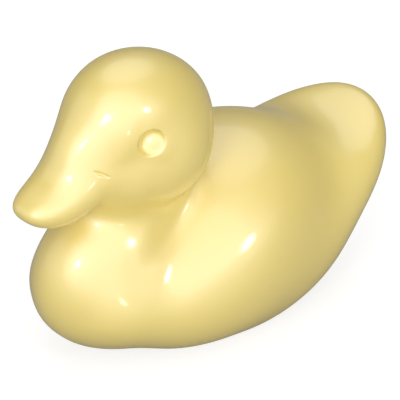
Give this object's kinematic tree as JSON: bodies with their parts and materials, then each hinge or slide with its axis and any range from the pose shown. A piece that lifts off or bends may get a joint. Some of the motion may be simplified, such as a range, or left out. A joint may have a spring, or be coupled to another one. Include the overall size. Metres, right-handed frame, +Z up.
{
  "type": "duckling figurine",
  "caption": "Small solid figurine of a resting duckling with a broad bill, bead eyes and a raised dished tail, on a flat belly.",
  "frame": {"origin": "middle of the resting flat under the belly", "axes": "+Z up out of the resting flat, -Y towards the bill, +X to the duckling's left"},
  "size_m": [0.0482, 0.0963, 0.0692],
  "materials": {
    "cast_resin": "smooth glossy pale yellow casting resin"
  },
  "bodies": {
    "root": {"duckling": "cast_resin"}
  },
  "joints": []
}
